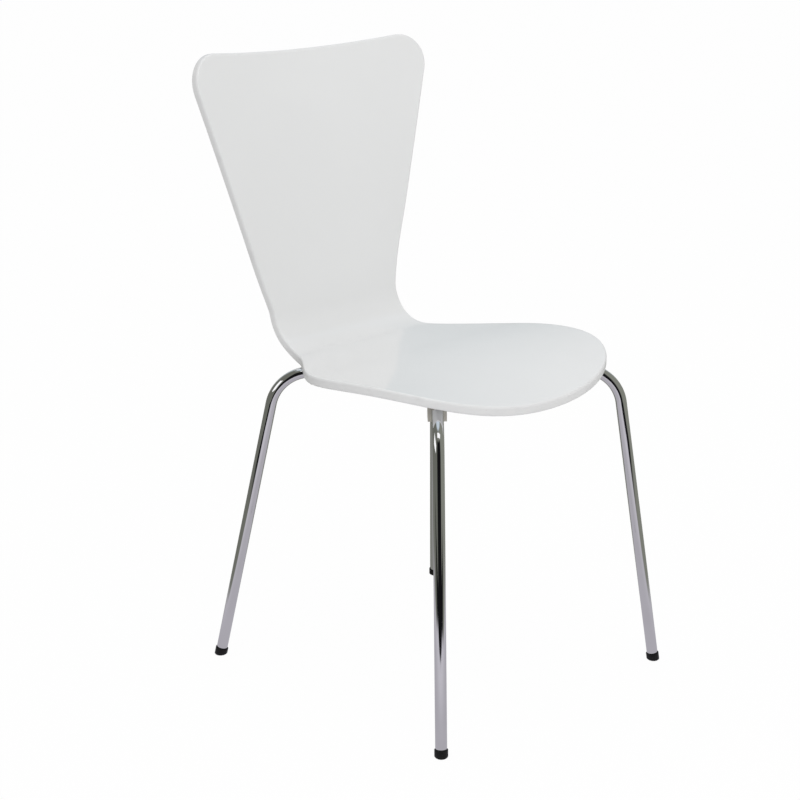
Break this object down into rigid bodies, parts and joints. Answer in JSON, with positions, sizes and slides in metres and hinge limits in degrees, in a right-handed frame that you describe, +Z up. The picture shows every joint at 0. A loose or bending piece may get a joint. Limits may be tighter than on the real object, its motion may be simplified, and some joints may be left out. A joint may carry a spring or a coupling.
{
  "type": "stacking chair",
  "caption": "Stacking chair with a one-piece moulded plywood shell, waisted between seat and back, on a welded frame of two bent chromed tubes with plastic foot glides.",
  "frame": {"origin": "on the floor, under the middle of the whole chair's bounding box", "axes": "+Z up; the sitter faces -Y; +X is the sitter's left"},
  "size_m": [0.4412, 0.5008, 0.8257],
  "materials": {
    "shell_lacquer": "moulded plywood under a smooth white gloss lacquer",
    "chrome_tube": "polished chromium plate on steel tube",
    "plate_chrome": "chromium plate on pressed steel, duller than the tube",
    "fastener_steel": "zinc-plated steel",
    "insert_brass": "bare turned brass",
    "gasket_rubber": "matt black moulded rubber",
    "buffer_plastic": "pale grey-beige moulded plastic, satin",
    "glide_plastic": "black moulded plastic, fine matt texture"
  },
  "bodies": {
    "root": {"seat_shell": "shell_lacquer", "left_side_tube": "chrome_tube", "right_side_tube": "chrome_tube", "mounting_plate": "plate_chrome", "plate_welds": "plate_chrome", "seat_gasket": "gasket_rubber", "mounting_screws": "fastener_steel", "screw_washers": "fastener_steel", "threaded_inserts": "insert_brass", "front_left_buffer": "buffer_plastic", "front_left_glide": "glide_plastic", "front_right_buffer": "buffer_plastic", "front_right_glide": "glide_plastic", "rear_left_buffer": "buffer_plastic", "rear_left_glide": "glide_plastic", "rear_right_buffer": "buffer_plastic", "rear_right_glide": "glide_plastic"}
  },
  "joints": []
}
